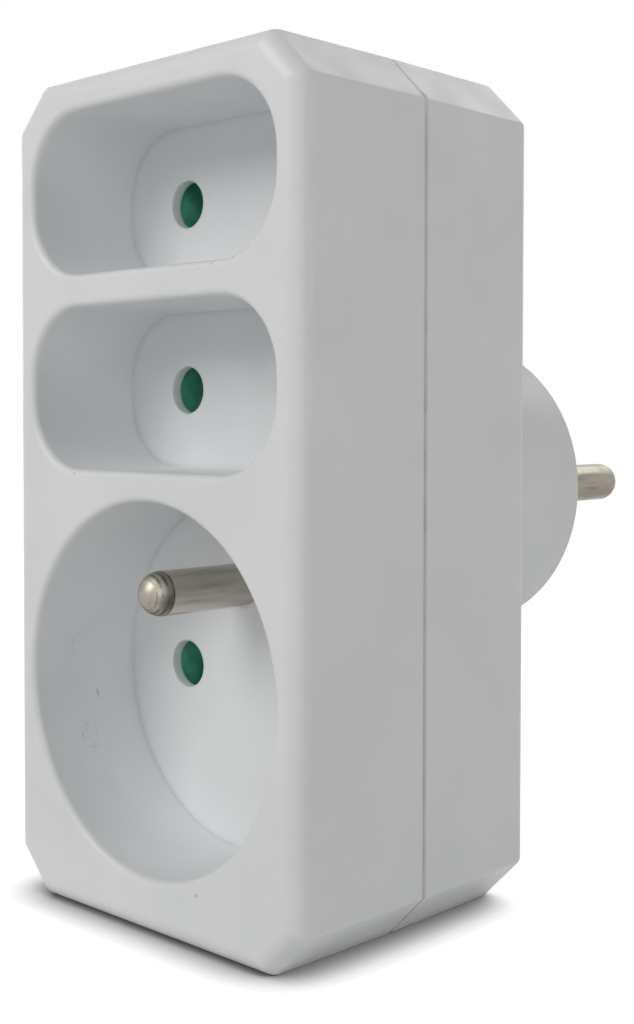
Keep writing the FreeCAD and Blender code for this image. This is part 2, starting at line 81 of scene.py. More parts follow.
def linear(hex_colour):
    """Linear RGB of an sRGB hex colour."""
    channels = [int(hex_colour[i : i + 2], 16) / 255 for i in (1, 3, 5)]
    return [c / 12.92 if c <= 0.04045 else ((c + 0.055) / 1.055) ** 2.4 for c in channels]


def colour(name, description, hex_colour):
    """Colour property of a settings group."""
    return FloatVectorProperty(
        name=name,
        description=description,
        subtype="COLOR",
        size=3,
        min=0,
        max=1,
        default=linear(hex_colour),
    )


def length(name, description, millimetres):
    """Length property of a settings group, given in millimetres."""
    return FloatProperty(
        name=name,
        description=description,
        subtype="DISTANCE",
        unit="LENGTH",
        default=millimetres * MM,
    )


def share(name, description, value):
    """Property from 0 to 1."""
    return FloatProperty(
        name=name, description=description, subtype="FACTOR", min=0, max=1, default=value
    )


def plain(name, description, value):
    """Property with no unit, such as a lamp's power or a shift."""
    return FloatProperty(name=name, description=description, default=value)


class ShellSettings(bpy.types.PropertyGroup):
    """Moulded shells, floors of the wells and plug body."""

    white: colour("White", "Colour of the moulded shells", "#EAEDF0")
    clouded: colour("Clouded", "Second white, in broad soft clouds", "#E5E9EC")
    grime: colour("Grime", "Dirt held in the joint and in nicks", "#989080")
    # Grey of the real rub marks, and of the painted shade in inner corners
    smudge_and_corner_shade: colour("Smudge", "Grey rub marks, and dust in the inner corners", "#9FA3A6")
    cloud_size: length("Cloud size", "Width of the soft clouds of colour", 14.0)
    grain_size: length("Grain size", "Mould texture, coarser than the real 0.05 mm", 0.22)
    grain_depth: length("Grain depth", "Height of the mould texture", 0.006)
    ripple_size: length("Ripple size", "Width of the moulding's sink and flow ripples", 9.0)
    ripple_depth: length("Ripple depth", "Height of the sink and flow ripples", 0.03)
    joint_reach: length("Joint reach", "How far dirt reaches from the shells' joint", 0.45)
    joint_dirt: share("Joint dirt", "Strength of the dirt in the joint", 0.65)
    joint_marks: length("Joint marks", "Length of the joint's darker stretches", 6.0)
    wiped_reach: length("Wiped reach", "How far below the top the joint is wiped cleaner", 7.0)
    # Reach and strength of the painted shade in inner corners, found by an occlusion test
    corner_shade_reach: length("Corner reach", "Width of the dusty line in inner corners", 1.5)
    corner_shade_strength: share("Corner dust", "Strength of the dust in inner corners", 0.25)
    nick_dirt: share("Nick dirt", "Strength of the dirt in nicks", 0.45)
    nick_depth: length("Nick depth", "Depth of the nicks", 0.15)
    rub_width: length("Rub width", "Width of the streaks in a rub mark", 0.6)
    rub_dirt: share("Rub dirt", "Strength of the rub marks", 0.6)
    wear_size: length("Wear size", "Width of the glossier and duller patches", 5.0)
    roughness: share("Roughness", "Roughness of the satin mould finish", 0.42)
    edge_radius: length("Edge radius", "Softness of the moulded edges", 0.25)
    mouth_radius: length("Mouth radius", "Softness of the mouths of the pin holes", 0.45)


class ShutterSettings(bpy.types.PropertyGroup):
    """Sliding shutters behind the pin holes."""

    green: colour("Green", "Colour of the moulded shutters", "#68C2A8")
    shade: colour("Shade", "Darker green of the flow marks", "#52A68D")
    flow_size: length("Flow size", "Width of the flow marks", 2.4)
    grain_size: length("Grain size", "Width of the mould texture", 0.5)
    grain_depth: length("Grain depth", "Height of the mould texture", 0.01)
    edge_radius: length("Edge radius", "Softness of the moulded edges", 0.2)
    roughness: share("Roughness", "Roughness of the moulded finish", 0.42)


class MetalSettings(bpy.types.PropertyGroup):
    """Pins, contacts, springs and screws."""

    plating: colour("Plating", "Nickel plating on the earth pin", "#C9C4B9")
    tarnish: colour("Tarnish", "Duller streaks along the earth pin", "#B3ADA1")
    worn: colour("Worn plating", "Plating of the plug pins, dulled by use", "#958F83")
    # Dark plating of the streaks, and of the painted shade underneath the plug pins
    dark_streaks_and_shade: colour("Dark plating", "Darker streaks along the plug pins", "#6E685C")
    # Dark colour of the rings on the tip, and of the painted shade low on the dome
    ring_and_shade_dark: colour("Groove", "Dark bottoms of the turned rings on the tip", "#5A544A")
    # Strength of the painted shade underneath the plug pins
    underside_shade: share("Underside", "How dark the plug pins are underneath", 0.75)
    streak_width: length("Streak width", "Width of the streaks along the pins", 1.1)
    patch_size: length("Patch size", "Width of the plug pins' duller patches", 1.8)
    turning: length("Turning", "Turning marks, coarser than the real 0.1 mm", 0.35)
    turning_depth: length("Turning depth", "Height of the turning marks", 0.012)
    tip_rings: length("Tip rings", "Distance between the turned rings on the tip", 0.55)
    tip_wobble: length("Tip wobble", "Width of the bends in the rings on the tip", 2.5)
    tip_breaks: length("Tip breaks", "Width of the breaks in the rings on the tip", 1.3)
    brass: colour("Brass", "Rolled brass of the contacts", "#C9A35A")
    brass_dull: colour("Dull brass", "Handled and heated brass", "#A67F42")
    brass_patch: length("Brass patch", "Width of the dull patches on brass", 4.0)
    wire: colour("Wire", "Drawn spring steel", "#A9ABAD")
    zinc: colour("Zinc", "Zinc plating on the screws", "#B4B8BA")
    zinc_bloom: length("Zinc bloom", "Width of the clouds on the screws", 1.5)
    zinc_pits: length("Zinc pits", "Width of the pits on the screws", 0.3)
    drawing: length("Drawing", "Width of the drawing marks of wire and strip", 0.25)
    brass_depth: length("Brass depth", "Height of the rolling marks on brass", 0.008)
    wire_depth: length("Wire depth", "Height of the drawing marks on wire", 0.004)
    zinc_depth: length("Zinc depth", "Depth of the pits on the screws", 0.01)


class StageSettings(bpy.types.PropertyGroup):
    """Floor, lamps, world and camera."""

    camera_place: FloatVectorProperty(
        name="Camera place",
        description="Where the camera stands",
        subtype="TRANSLATION",
        unit="LENGTH",
        default=(0.119129, -0.113698, 0.054378),
    )
    camera_turn: FloatVectorProperty(
        name="Camera turn",
        description="Turn of the camera about X, Y and Z",
        subtype="EULER",
        unit="ROTATION",
        default=(math.radians(88.2915), math.radians(-0.121), math.radians(42.9179)),
    )
    lens: plain("Lens", "Focal length on a 36 mm sensor", 51.17)
    shift_x: plain("Shift X", "Sideways shift of the frame", -0.03711)
    shift_y: plain("Shift Y", "Upward shift of the frame", -0.05026)
    clip_start: length("Clip start", "Nearest distance that the camera sees", 5.0)
    floor_size: length("Floor size", "Width of the floor", 6000.0)
    card: colour("Card", "White of the floor's card", "#F4F4F3")
    card_fibre: colour("Card fibre", "Second white of the card, in its fibres", "#EFEFEE")
    fibre_size: length("Fibre size", "Width of the fibres in the card", 1.5)
    # The floor's contact shadow is painted into its glow by an occlusion test, not cast by the
    # lamps
    contact_reach: length("Contact reach", "How far the contact shadow reaches", 7.0)
    contact_dark: share("Contact dark", "Brightness of the floor right at the part", 0.02)
    open_bright: plain("Open bright", "Brightness of the open floor, where 1 is white", 1.2)
    lit_share: share("Lit share", "Share of the lit card in what the camera sees", 0.15)
    # Tilt of the occlusion test that paints the floor's shadow
    painted_shadow_lean: FloatVectorProperty(
        name="Shadow lean",
        description="Where the floor's soft light comes from; the shadow falls the other way",
        subtype="DIRECTION",
        default=(0.2, 0.25, 1.0),
    )
    lamp_distance: length("Lamp distance", "Distance of every lamp from the part", 1200.0)
    lamp_size: length("Lamp size", "Width of every lamp", 700.0)
    lamp_tint: FloatVectorProperty(
        name="Lamp tint",
        description="Warm tint of the lamps",
        subtype="COLOR",
        size=3,
        default=(1.03, 1.0, 0.965),
    )
    key_power: plain("Key power", "Lamp in front, to the left", 6.6)
    side_power: plain("Side power", "Low lamp in front on the right", 2.4)
    right_power: plain("Right power", "Low lamp far to the right", 2.5)
    left_power: plain("Left power", "Low lamp behind on the left", 3.2)
    back_power: plain("Back power", "High lamp behind", 1.9)
    world_strength: plain("World", "Strength of the soft light all round", 0.04)


SETTINGS = {
    "adapter_shell": ShellSettings,
    "adapter_shutter": ShutterSettings,
    "adapter_metal": MetalSettings,
    "adapter_stage": StageSettings,
}


def add_node(tree, kind, inputs=(), out=0, **settings):
    """Adds a node with its settings, and returns one of its outputs.

    Inputs come in the order of the sockets, or in a dictionary by a socket's name or number. Each
    is a value, or another node's output to link.
    """
    node = tree.nodes.new(kind)
    for name, value in settings.items():
        setattr(node, name, value)
    for name, value in inputs.items() if isinstance(inputs, dict) else enumerate(inputs):
        socket = node.inputs[name]
        if isinstance(value, bpy.types.NodeSocket):
            tree.links.new(value, socket)
        elif socket.type == "RGBA":
            socket.default_value = (*value[:3], 1)
        else:
            socket.default_value = value
    return node.outputs[out] if len(node.outputs) else None


def new_material(name):
    """Empty node material, with its tree and the output that gives the place on the part."""
    material = bpy.data.materials.new(name)
    material.use_nodes = True
    tree = material.node_tree
    tree.nodes.clear()
    return material, tree, add_node(tree, "ShaderNodeTexCoord", out="Object")


def spots(tree, place, places):
    """The strongest of several soft balls, 1 in the middle: x, y, z and radius in millimetres."""
    strongest = None
    for *centre, radius in places:
        point = [c * MM for c in centre]
        away = add_node(tree, VECTOR, [place, point], "Value", operation="DISTANCE")
        ball = add_node(tree, RANGE, [away, 0, radius * MM, 1, 0], **SMOOTH)
        if strongest is not None:
            ball = add_node(tree, MATH, [strongest, ball], operation="MAXIMUM")
        strongest = ball
    return strongest


def rounded_edges(tree, place, radius, mouths=None):
    """Normal with edges softened to a radius, all over or only round the mouths of some holes."""
    soft = add_node(tree, "ShaderNodeBevel", {"Radius": radius}, samples=4)
    if mouths is None:
        return soft
    sharp = add_node(tree, "ShaderNodeNewGeometry", out="Normal")
    near = add_node(tree, RANGE, [spots(tree, place, mouths), 0.35, 0.6], **SMOOTH)
    return add_node(tree, MIX, {0: near, 4: sharp, 5: soft}, out=1, data_type="VECTOR")


# Rub marks in the round well, nicks on rims and corners: x, y, z and radius in millimetres
SMUDGES = (
    (-17.8, -11.5, 17.4, 2.6),
    (-19.3, -8.9, 22.1, 2.4),
    (-19.5, -12.3, 28.4, 1.8),
    (17.6, -9.5, 16.8, 2.2),
)
NICKS = (
    (10.6, -18.0, 69.6, 0.35),
    (13.8, -17.9, 70.0, 0.3),
    (22.9, 0.0, 87.3, 0.7),
    (-12.0, -18.0, 48.2, 0.3),
    (8.4, -17.9, 6.0, 0.35),
    (-21.3, 18.0, 12.4, 0.4),
    (14.6, 35.6, 36.2, 0.35),
)


def shell_material(shell, name, mouths=None):
    """White ABS from a satin mould: wide soft highlights, faint sink ripples, a little dirt,
    painted shade in inner corners.
    """
    material, tree, place = new_material(name)

    # Noise lies mostly between 0.3 and 0.7, here and below, so such bounds are stretched to 0 and 1
    clouds = {"Vector": place, "Scale": 1 / shell.cloud_size, "Detail": 3}
    clouds = add_node(tree, RANGE, [add_node(tree, NOISE, clouds), 0.35, 0.65], **SMOOTH)
    surface = add_node(tree, MIX, {0: clouds, 6: shell.white, 7: shell.clouded}, **COLOURS)

    # Dirt in the joint, broken into stretches and wiped off near the top
    marks = {"Vector": place, "Scale": 1 / shell.joint_marks, "Detail": 4}
    marks = add_node(tree, RANGE, [add_node(tree, NOISE, marks), 0.45, 0.7, 0.6, 1], **SMOOTH)
    axes = add_node(tree, "ShaderNodeSeparateXYZ", [place]).node.outputs
    across = add_node(tree, MATH, [axes["Y"]], operation="ABSOLUTE")
    joint = [across, 0, shell.joint_reach, shell.joint_dirt, 0]
    joint = add_node(tree, RANGE, joint, **SMOOTH)
    below = cad_high.z - shell.wiped_reach
    wiped = add_node(tree, RANGE, [axes["Z"], below, below + 2 * MM, 1, 0.35], **SMOOTH)
    dirt = add_node(tree, MATH, [joint, wiped], operation="MULTIPLY")
    dirt = add_node(tree, MATH, [dirt, marks], operation="MULTIPLY")
    surface = add_node(tree, MIX, {0: dirt, 6: surface, 7: shell.grime}, **COLOURS)

    # Painted shade in the inner corners: an occlusion test darkens them towards a grey
    corners = {"Distance": shell.corner_shade_reach}
    corners = add_node(tree, "ShaderNodeAmbientOcclusion", corners, "AO", samples=4)
    painted_shade = add_node(tree, RANGE, [corners, 0.35, 0.75, shell.corner_shade_strength, 0], **SMOOTH)
    surface = add_node(tree, MIX, {0: painted_shade, 6: surface, 7: shell.smudge_and_corner_shade}, **COLOURS)

    # Nicks, and rub marks made of thin upright streaks
    nicks = spots(tree, place, NICKS)
    dirt = add_node(tree, MATH, [nicks, shell.nick_dirt], operation="MULTIPLY")
    surface = add_node(tree, MIX, {0: dirt, 6: surface, 7: shell.grime}, **COLOURS)
    upright = add_node(tree, VECTOR, [place, (1, 1, 1 / 5)], operation="MULTIPLY")
    streaks = add_node(tree, NOISE, {"Vector": upright, "Scale": 1 / shell.rub_width})
    streaks = add_node(tree, RANGE, [streaks, 0.55, 0.7], **SMOOTH)
    rubs = add_node(tree, MATH, [spots(tree, place, SMUDGES), streaks], operation="MULTIPLY")
    rubs = add_node(tree, MATH, [rubs, shell.rub_dirt], operation="MULTIPLY")
    surface = add_node(tree, MIX, {0: rubs, 6: surface, 7: shell.smudge_and_corner_shade}, **COLOURS)

    wear = add_node(tree, NOISE, {"Vector": place, "Scale": 1 / shell.wear_size, "Detail": 4})
    rough = [wear, 0.3, 0.7, shell.roughness - 0.05, shell.roughness + 0.07]
    rough = add_node(tree, RANGE, rough, **SMOOTH)

    radius = shell.edge_radius if mouths is None else shell.mouth_radius
    normal = rounded_edges(tree, place, radius, mouths)
    ripple = {"Vector": place, "Scale": 1 / shell.ripple_size, "Detail": 1}
    ripple = {"Distance": shell.ripple_depth, "Height": add_node(tree, NOISE, ripple)}
    normal = add_node(tree, BUMP, {**ripple, "Normal": normal})
    grain = add_node(tree, NOISE, {"Vector": place, "Scale": 1 / shell.grain_size})
    grain = {"Distance": shell.grain_depth, "Height": grain}
    normal = add_node(tree, BUMP, {**grain, "Normal": normal})
    dents = {"Distance": -shell.nick_depth, "Height": nicks}
    normal = add_node(tree, BUMP, {**dents, "Normal": normal})

    finish = {"Base Color": surface, "Roughness": rough, "IOR": PLASTIC_IOR, "Normal": normal}
    finish = add_node(tree, "ShaderNodeBsdfPrincipled", finish)
    add_node(tree, "ShaderNodeOutputMaterial", [finish])
    return material


def shutter_material(shutter):
    """Green polyamide, moulded, a little polished by rubbing: flow marks run along the slide."""
    material, tree, place = new_material("green_polyamide_moulded")
    along = add_node(tree, VECTOR, [place, (1 / 3, 1, 1)], operation="MULTIPLY")
    flow = {"Vector": along, "Scale": 1 / shutter.flow_size, "Detail": 3}
    flow = add_node(tree, RANGE, [add_node(tree, NOISE, flow), 0.35, 0.65], **SMOOTH)
    surface = add_node(tree, MIX, {0: flow, 6: shutter.green, 7: shutter.shade}, **COLOURS)
    rough = [flow, 0, 1, shutter.roughness, shutter.roughness + 0.12]
    rough = add_node(tree, RANGE, rough, **SMOOTH)
    grain = add_node(tree, NOISE, {"Vector": place, "Scale": 1 / shutter.grain_size})
    grain = {"Distance": shutter.grain_depth, "Height": grain}
    normal = rounded_edges(tree, place, shutter.edge_radius)
    normal = add_node(tree, BUMP, {**grain, "Normal": normal})
    finish = {"Base Color": surface, "Roughness": rough, "IOR": PLASTIC_IOR, "Normal": normal}
    finish = add_node(tree, "ShaderNodeBsdfPrincipled", finish)
    add_node(tree, "ShaderNodeOutputMaterial", [finish])
    return material


def nickel_plating(metal, name):
    """Nickel on turned brass: a new material, the streaks along the pin, and its fine rings."""
    material, tree, place = new_material(name)
    along = add_node(tree, VECTOR, [place, (1, 1 / 12, 1)], operation="MULTIPLY")
    streaks = {"Scale": 1 / metal.streak_width, "Detail": 3, "Roughness": 0.6}
    streaks = add_node(tree, NOISE, {"Vector": along, **streaks})
    streaks = add_node(tree, RANGE, [streaks, 0.42, 0.7], **SMOOTH)
    round_pin = add_node(tree, VECTOR, [place, (1 / 60, 1, 1 / 60)], operation="MULTIPLY")
    rings = {"Scale": 1 / metal.turning, "Detail": 3, "Roughness": 0.6}
    rings = add_node(tree, NOISE, {"Vector": round_pin, **rings})
    normal = add_node(tree, BUMP, {"Distance": metal.turning_depth, "Height": rings})
    return material, tree, place, streaks, normal


def plug_pin_material(metal, axis_z):
    """Plating worn by use: streaked, painted shade darkening it underneath, glossier and duller
    patches.
    """
    material, tree, place, streaks, normal = nickel_plating(metal, "worn_nickel_on_brass")
    height = add_node(tree, "ShaderNodeSeparateXYZ", [place], "Z")
    # Painted shade: below the pin's axis the colour darkens towards the dark plating, along with
    # the streaks
    painted_under_shade = [height, axis_z - 1.8 * MM, axis_z + 0.4 * MM, metal.underside_shade, 0]
    painted_under_shade = add_node(tree, RANGE, painted_under_shade, **SMOOTH)
    dulled = add_node(tree, MATH, [streaks, painted_under_shade], operation="MAXIMUM")
    surface = add_node(tree, MIX, {0: dulled, 6: metal.worn, 7: metal.dark_streaks_and_shade}, **COLOURS)
    patches = {"Vector": place, "Scale": 1 / metal.patch_size, "Detail": 3}
    rough = add_node(tree, RANGE, [add_node(tree, NOISE, patches), 0.3, 0.7, 0.2, 0.36], **SMOOTH)
    finish = {"Base Color": surface, "Metallic": 1, "Roughness": rough, "Normal": normal}
    finish = add_node(tree, "ShaderNodeBsdfPrincipled", finish)
    add_node(tree, "ShaderNodeOutputMaterial", [finish])
    return material


def earth_pin_material(metal, white, pin, root_y):
    """Bright plating: faint broken rings on a dulled tip with painted shade low on its +X side,
    moulded plastic over the root.
    """
    material, tree, place, streaks, normal = nickel_plating(metal, "bright_nickel_on_brass")
    plated = add_node(tree, MIX, {0: streaks, 6: metal.plating, 7: metal.tarnish}, **COLOURS)
    axis_z = pin["pos_m"][2]
    tip_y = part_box("earth_pin")[0].y
    dome_y = tip_y + pin["dims"]["r_mm"] * MM

    # Rings: a wave of the distance from the apex, bent by noise by up to 2.5 radians, broken up
    # by another noise, and weak near the apex
    apex = (0, tip_y, axis_z)
    reach = add_node(tree, VECTOR, [place, apex], "Value", operation="DISTANCE")
    turns = add_node(tree, MATH, [reach, 2 * math.pi / metal.tip_rings], operation="MULTIPLY")
    wobble = add_node(tree, NOISE, {"Vector": place, "Scale": 1 / metal.tip_wobble})
    wobble = add_node(tree, MATH, [wobble, 2.5], operation="MULTIPLY")
    phase = add_node(tree, MATH, [turns, wobble], operation="ADD")
    wave = add_node(tree, MATH, [phase], operation="SINE")
    wave = add_node(tree, RANGE, [wave, -0.5, 0.9, 0.45, 1], **SMOOTH)
    broken = add_node(tree, NOISE, {"Vector": place, "Scale": 1 / metal.tip_breaks})
    broken = add_node(tree, RANGE, [broken, 0.35, 0.6, 0.6, 0.95], **SMOOTH)
    rings = add_node(tree, MATH, [wave, broken], operation="MULTIPLY")
    weak = add_node(tree, RANGE, [reach, 0.9 * MM, 2.2 * MM, 0.35, 1], **SMOOTH)
    rings = add_node(tree, MATH, [rings, weak], operation="MULTIPLY")

    # The whole dome is dulled by rubbing, and painted shade darkens it most low down on the side of
    # +X
    dulled_and_shaded = spots(tree, place, [(2.2, dome_y / MM - 0.6, axis_z / MM - 0.8, 2.0)])
    dulled_and_shaded = add_node(tree, RANGE, [dulled_and_shaded, 0, 1, 0.5, 0.9], **SMOOTH)
    dark = add_node(tree, MATH, [rings, dulled_and_shaded], operation="MAXIMUM")
    dome = add_node(tree, MIX, {0: dark, 6: plated, 7: metal.ring_and_shade_dark}, **COLOURS)
    along = add_node(tree, "ShaderNodeSeparateXYZ", [place], "Y")
    tip = add_node(tree, RANGE, [along, dome_y - 0.05 * MM, dome_y + 0.05 * MM, 1, 0], **SMOOTH)
    surface = add_node(tree, MIX, {0: tip, 6: plated, 7: dome}, **COLOURS)

    root = add_node(tree, RANGE, [along, root_y - 0.02 * MM, root_y - 0.01 * MM], **SMOOTH)
    surface = add_node(tree, MIX, {0: root, 6: surface, 7: white}, **COLOURS)
    metallic = add_node(tree, RANGE, [root, 0, 1, 1, 0], **SMOOTH)
    rough = add_node(tree, RANGE, [tip, 0, 1, 0.3, 0.42], **SMOOTH)
    finish = {"Base Color": surface, "Metallic": metallic, "Roughness": rough, "Normal": normal}
    finish = add_node(tree, "ShaderNodeBsdfPrincipled", finish)
    add_node(tree, "ShaderNodeOutputMaterial", [finish])
    return material


def brass_material(metal):
    """Rolled and stamped brass strip: long rolling marks, warm dull patches where handled."""
    material, tree, place = new_material("rolled_brass_strip")
    patches = {"Vector": place, "Scale": 1 / metal.brass_patch, "Detail": 4}
    patches = add_node(tree, RANGE, [add_node(tree, NOISE, patches), 0.4, 0.65], **SMOOTH)
    surface = add_node(tree, MIX, {0: patches, 6: metal.brass, 7: metal.brass_dull}, **COLOURS)
    rough = add_node(tree, RANGE, [patches, 0, 1, 0.24, 0.4], **SMOOTH)
    along = add_node(tree, VECTOR, [place, (1, 1, 1 / 30)], operation="MULTIPLY")
    rolled = {"Vector": along, "Scale": 1 / metal.drawing, "Detail": 3, "Roughness": 0.6}
    rolled = {"Distance": metal.brass_depth, "Height": add_node(tree, NOISE, rolled)}
    normal = add_node(tree, BUMP, rolled)
    finish = {"Base Color": surface, "Metallic": 1, "Roughness": rough, "Normal": normal}
    finish = add_node(tree, "ShaderNodeBsdfPrincipled", finish)
    add_node(tree, "ShaderNodeOutputMaterial", [finish])
    return material


def wire_material(metal):
    """Hard-drawn spring steel: smooth bright wire with faint marks from the die."""
    material, tree, place = new_material("drawn_spring_steel")
    along = add_node(tree, VECTOR, [place, (1 / 4, 1, 1)], operation="MULTIPLY")
    drawn = {"Vector": along, "Scale": 1 / metal.drawing, "Detail": 3, "Roughness": 0.6}
    drawn = add_node(tree, NOISE, drawn)
    marks = add_node(tree, RANGE, [drawn, 0.3, 0.8], **SMOOTH)
    surface = add_node(tree, MIX, {0: marks, 6: metal.wire, 7: metal.zinc}, **COLOURS)
    rough = add_node(tree, RANGE, [drawn, 0.3, 0.7, 0.25, 0.38], **SMOOTH)
    normal = add_node(tree, BUMP, {"Distance": metal.wire_depth, "Height": drawn})
    finish = {"Base Color": surface, "Metallic": 1, "Roughness": rough, "Normal": normal}
    finish = add_node(tree, "ShaderNodeBsdfPrincipled", finish)
    add_node(tree, "ShaderNodeOutputMaterial", [finish])
    return material


def screw_material(metal):
    """Cold-headed steel with clear zinc plating: cool grey, slightly cloudy, finely pitted."""
    material, tree, place = new_material("zinc_plated_steel")
    bloom = {"Vector": place, "Scale": 1 / metal.zinc_bloom, "Detail": 4}
    bloom = add_node(tree, RANGE, [add_node(tree, NOISE, bloom), 0.4, 0.7], **SMOOTH)
    surface = add_node(tree, MIX, {0: bloom, 6: metal.zinc, 7: metal.wire}, **COLOURS)
    rough = add_node(tree, RANGE, [bloom, 0, 1, 0.3, 0.46], **SMOOTH)
    pits = add_node(tree, NOISE, {"Vector": place, "Scale": 1 / metal.zinc_pits})
    normal = add_node(tree, BUMP, {"Distance": metal.zinc_depth, "Height": pits})
    finish = {"Base Color": surface, "Metallic": 1, "Roughness": rough, "Normal": normal}
    finish = add_node(tree, "ShaderNodeBsdfPrincipled", finish)
    add_node(tree, "ShaderNodeOutputMaterial", [finish])
    return material


def seen_directly(tree):
    """1 for rays from the camera and for those that metal or clear plastic sends on, else 0."""
    path = add_node(tree, "ShaderNodeLightPath").node.outputs
    seen = [path["Is Camera Ray"], path["Is Glossy Ray"]]
    seen = add_node(tree, MATH, seen, operation="MAXIMUM")
    return add_node(tree, MATH, [seen, path["Is Transmission Ray"]], operation="MAXIMUM")


def floor_material(stage):
    """Matt white card: white to the camera where nothing is near, with a painted shadow, dark where
    the part stands.
    """
    material, tree, place = new_material("white_card_sweep")
    fibres = {"Vector": place, "Scale": 1 / stage.fibre_size, "Detail": 3}
    fibres = {0: add_node(tree, NOISE, fibres), 6: stage.card, 7: stage.card_fibre}
    fibres = add_node(tree, MIX, fibres, **COLOURS)
    card = add_node(tree, "ShaderNodeBsdfDiffuse", {"Color": fibres})
    # Painted shadow: an occlusion test darkens the floor's glow near the part, mixed with a small
    # share of the lamp-lit card
    lean = add_node(tree, "ShaderNodeCombineXYZ", list(stage.painted_shadow_lean))
    lean = add_node(tree, VECTOR, [lean], operation="NORMALIZE")
    open_sky = {"Distance": stage.contact_reach, "Normal": lean}
    open_sky = add_node(tree, "ShaderNodeAmbientOcclusion", open_sky, "AO", samples=16)
    lit = [open_sky, 0.1, 0.9, stage.contact_dark, stage.open_bright]
    lit = add_node(tree, RANGE, lit, **SMOOTH)
    glow = add_node(tree, "ShaderNodeEmission", {"Color": (1, 1, 1), "Strength": lit})
    shown = add_node(tree, "ShaderNodeMixShader", [stage.lit_share, glow, card])
    both = add_node(tree, "ShaderNodeMixShader", [seen_directly(tree), card, shown])
    add_node(tree, "ShaderNodeOutputMaterial", [both])
    return material


def smooth_faces():
    """Geometry nodes that shade faces smooth for a modifier, so the CAD mesh stays as it is."""
    group = bpy.data.node_groups.get("smooth_faces")
    if group is None:
        group = bpy.data.node_groups.new("smooth_faces", "GeometryNodeTree")
        for side in ("INPUT", "OUTPUT"):
            group.interface.new_socket("Mesh", in_out=side, socket_type="NodeSocketGeometry")
        mesh = add_node(group, "NodeGroupInput")
        stored = {"Geometry": mesh, "Name": "custom_normal"}
        mesh = add_node(group, "GeometryNodeRemoveAttribute", stored)
        for domain in ("EDGE", "FACE"):
            mesh = add_node(group, "GeometryNodeSetShadeSmooth", [mesh], domain=domain)
        add_node(group, "NodeGroupOutput", [mesh])
    return group


def finish_nodes(names, material):
    """Gives CAD nodes a material, and modifiers that smooth their curved faces."""
    for name in names:
        node = nodes[name]
        for slot in node.material_slots:
            slot.material = material
        smooth = node.modifiers.new("smooth_faces", "NODES")
        smooth.node_group = smooth_faces()
        weld = node.modifiers.new("joined_faces", "WELD")
        weld.merge_threshold = WELD_REACH
        split = node.modifiers.new("sharp_edges", "EDGE_SPLIT")
        split.split_angle = SHARP_ANGLE
        even = node.modifiers.new("flat_faces_first", "WEIGHTED_NORMAL")
        even.weight = 100
        even.keep_sharp = True


class ADAPTER_OT_shells(bpy.types.Operator):
    """Finish the moulded shells, the floors of the wells and the plug body"""

    bl_idname = "adapter.shells"
    bl_label = "Finish shells"

    def execute(self, context):
        shell = context.scene.adapter_shell
        material = shell_material(shell, "white_abs_moulded_satin")
        finish_nodes(["front_cover", "rear_housing"], material)
        holes = [mount["pos_m"] for name, mount in mounts.items() if name.endswith("_hole")]
        mouths = [(*(c / MM for c in centre), HOLE_ZONE) for centre in holes]
        material = shell_material(shell, "white_abs_with_soft_holes", mouths)
        finish_nodes([f"socket_floor_{socket}" for socket in SOCKETS] + ["plug_body"], material)
        return {"FINISHED"}


class ADAPTER_OT_shutters(bpy.types.Operator):
    """Finish the sliding shutters, the plate that guides them and the springs that close them"""

    bl_idname = "adapter.shutters"
    bl_label = "Finish shutters"

    def execute(self, context):
        # From a low side view the plate's stops, not the ramps, show in the holes. The plate's real
        # colour is unknown, so it takes the shutters' green, the only colour seen there.
        green = shutter_material(context.scene.adapter_shutter)
        finish_nodes([f"shutter_{socket}" for socket in SOCKETS] + ["inner_plate"], green)
        springs = [f"shutter_spring_{socket}" for socket in SOCKETS]
        finish_nodes(springs, wire_material(context.scene.adapter_metal))
        for socket, spring in zip(SOCKETS, springs):
            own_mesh(nodes[spring])
        return {"FINISHED"}


class ADAPTER_OT_pins(bpy.types.Operator):
    """Finish the two plug pins and the earth pin"""

    bl_idname = "adapter.pins"
    bl_label = "Finish pins"

    def execute(self, context):
        metal = context.scene.adapter_metal
        worn = plug_pin_material(metal, mounts["live_pin"]["pos_m"][2])
        finish_nodes(["live_plug_pin", "neutral_plug_pin"], worn)
        white = context.scene.adapter_shell.white
        root_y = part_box("socket_floor_round")[0].y
        bright = earth_pin_material(metal, white, mounts["earth_pin"], root_y)
        finish_nodes(["earth_pin"], bright)
        return {"FINISHED"}


class ADAPTER_OT_contacts(bpy.types.Operator):
    """Finish the brass strips, clips, rivets, strap and sleeve"""

    bl_idname = "adapter.contacts"
    bl_label = "Finish contacts"

    def execute(self, context):
        clips = [f"{pole}_clip_{socket}" for pole in ("live", "neutral") for socket in SOCKETS]
        strips = ["live_busbar", "neutral_busbar", "clip_rivets", "earth_strap", "earth_sleeve"]
        finish_nodes(clips + strips, brass_material(context.scene.adapter_metal))
        return {"FINISHED"}


class ADAPTER_OT_screws(bpy.types.Operator):
    """Finish the four housing screws"""

    bl_idname = "adapter.screws"
    bl_label = "Finish screws"

    def execute(self, context):
        finish_nodes(["housing_screws"], screw_material(context.scene.adapter_metal))
        return {"FINISHED"}


# Lamps: name, turn from straight in front towards +X, and height, both in degrees
LAMPS = (
    ("key", -18, 34),
    ("side", 45, 12),
    ("right", 110, 12),
    ("left", -120, 12),
    ("back", 180, 40),
)


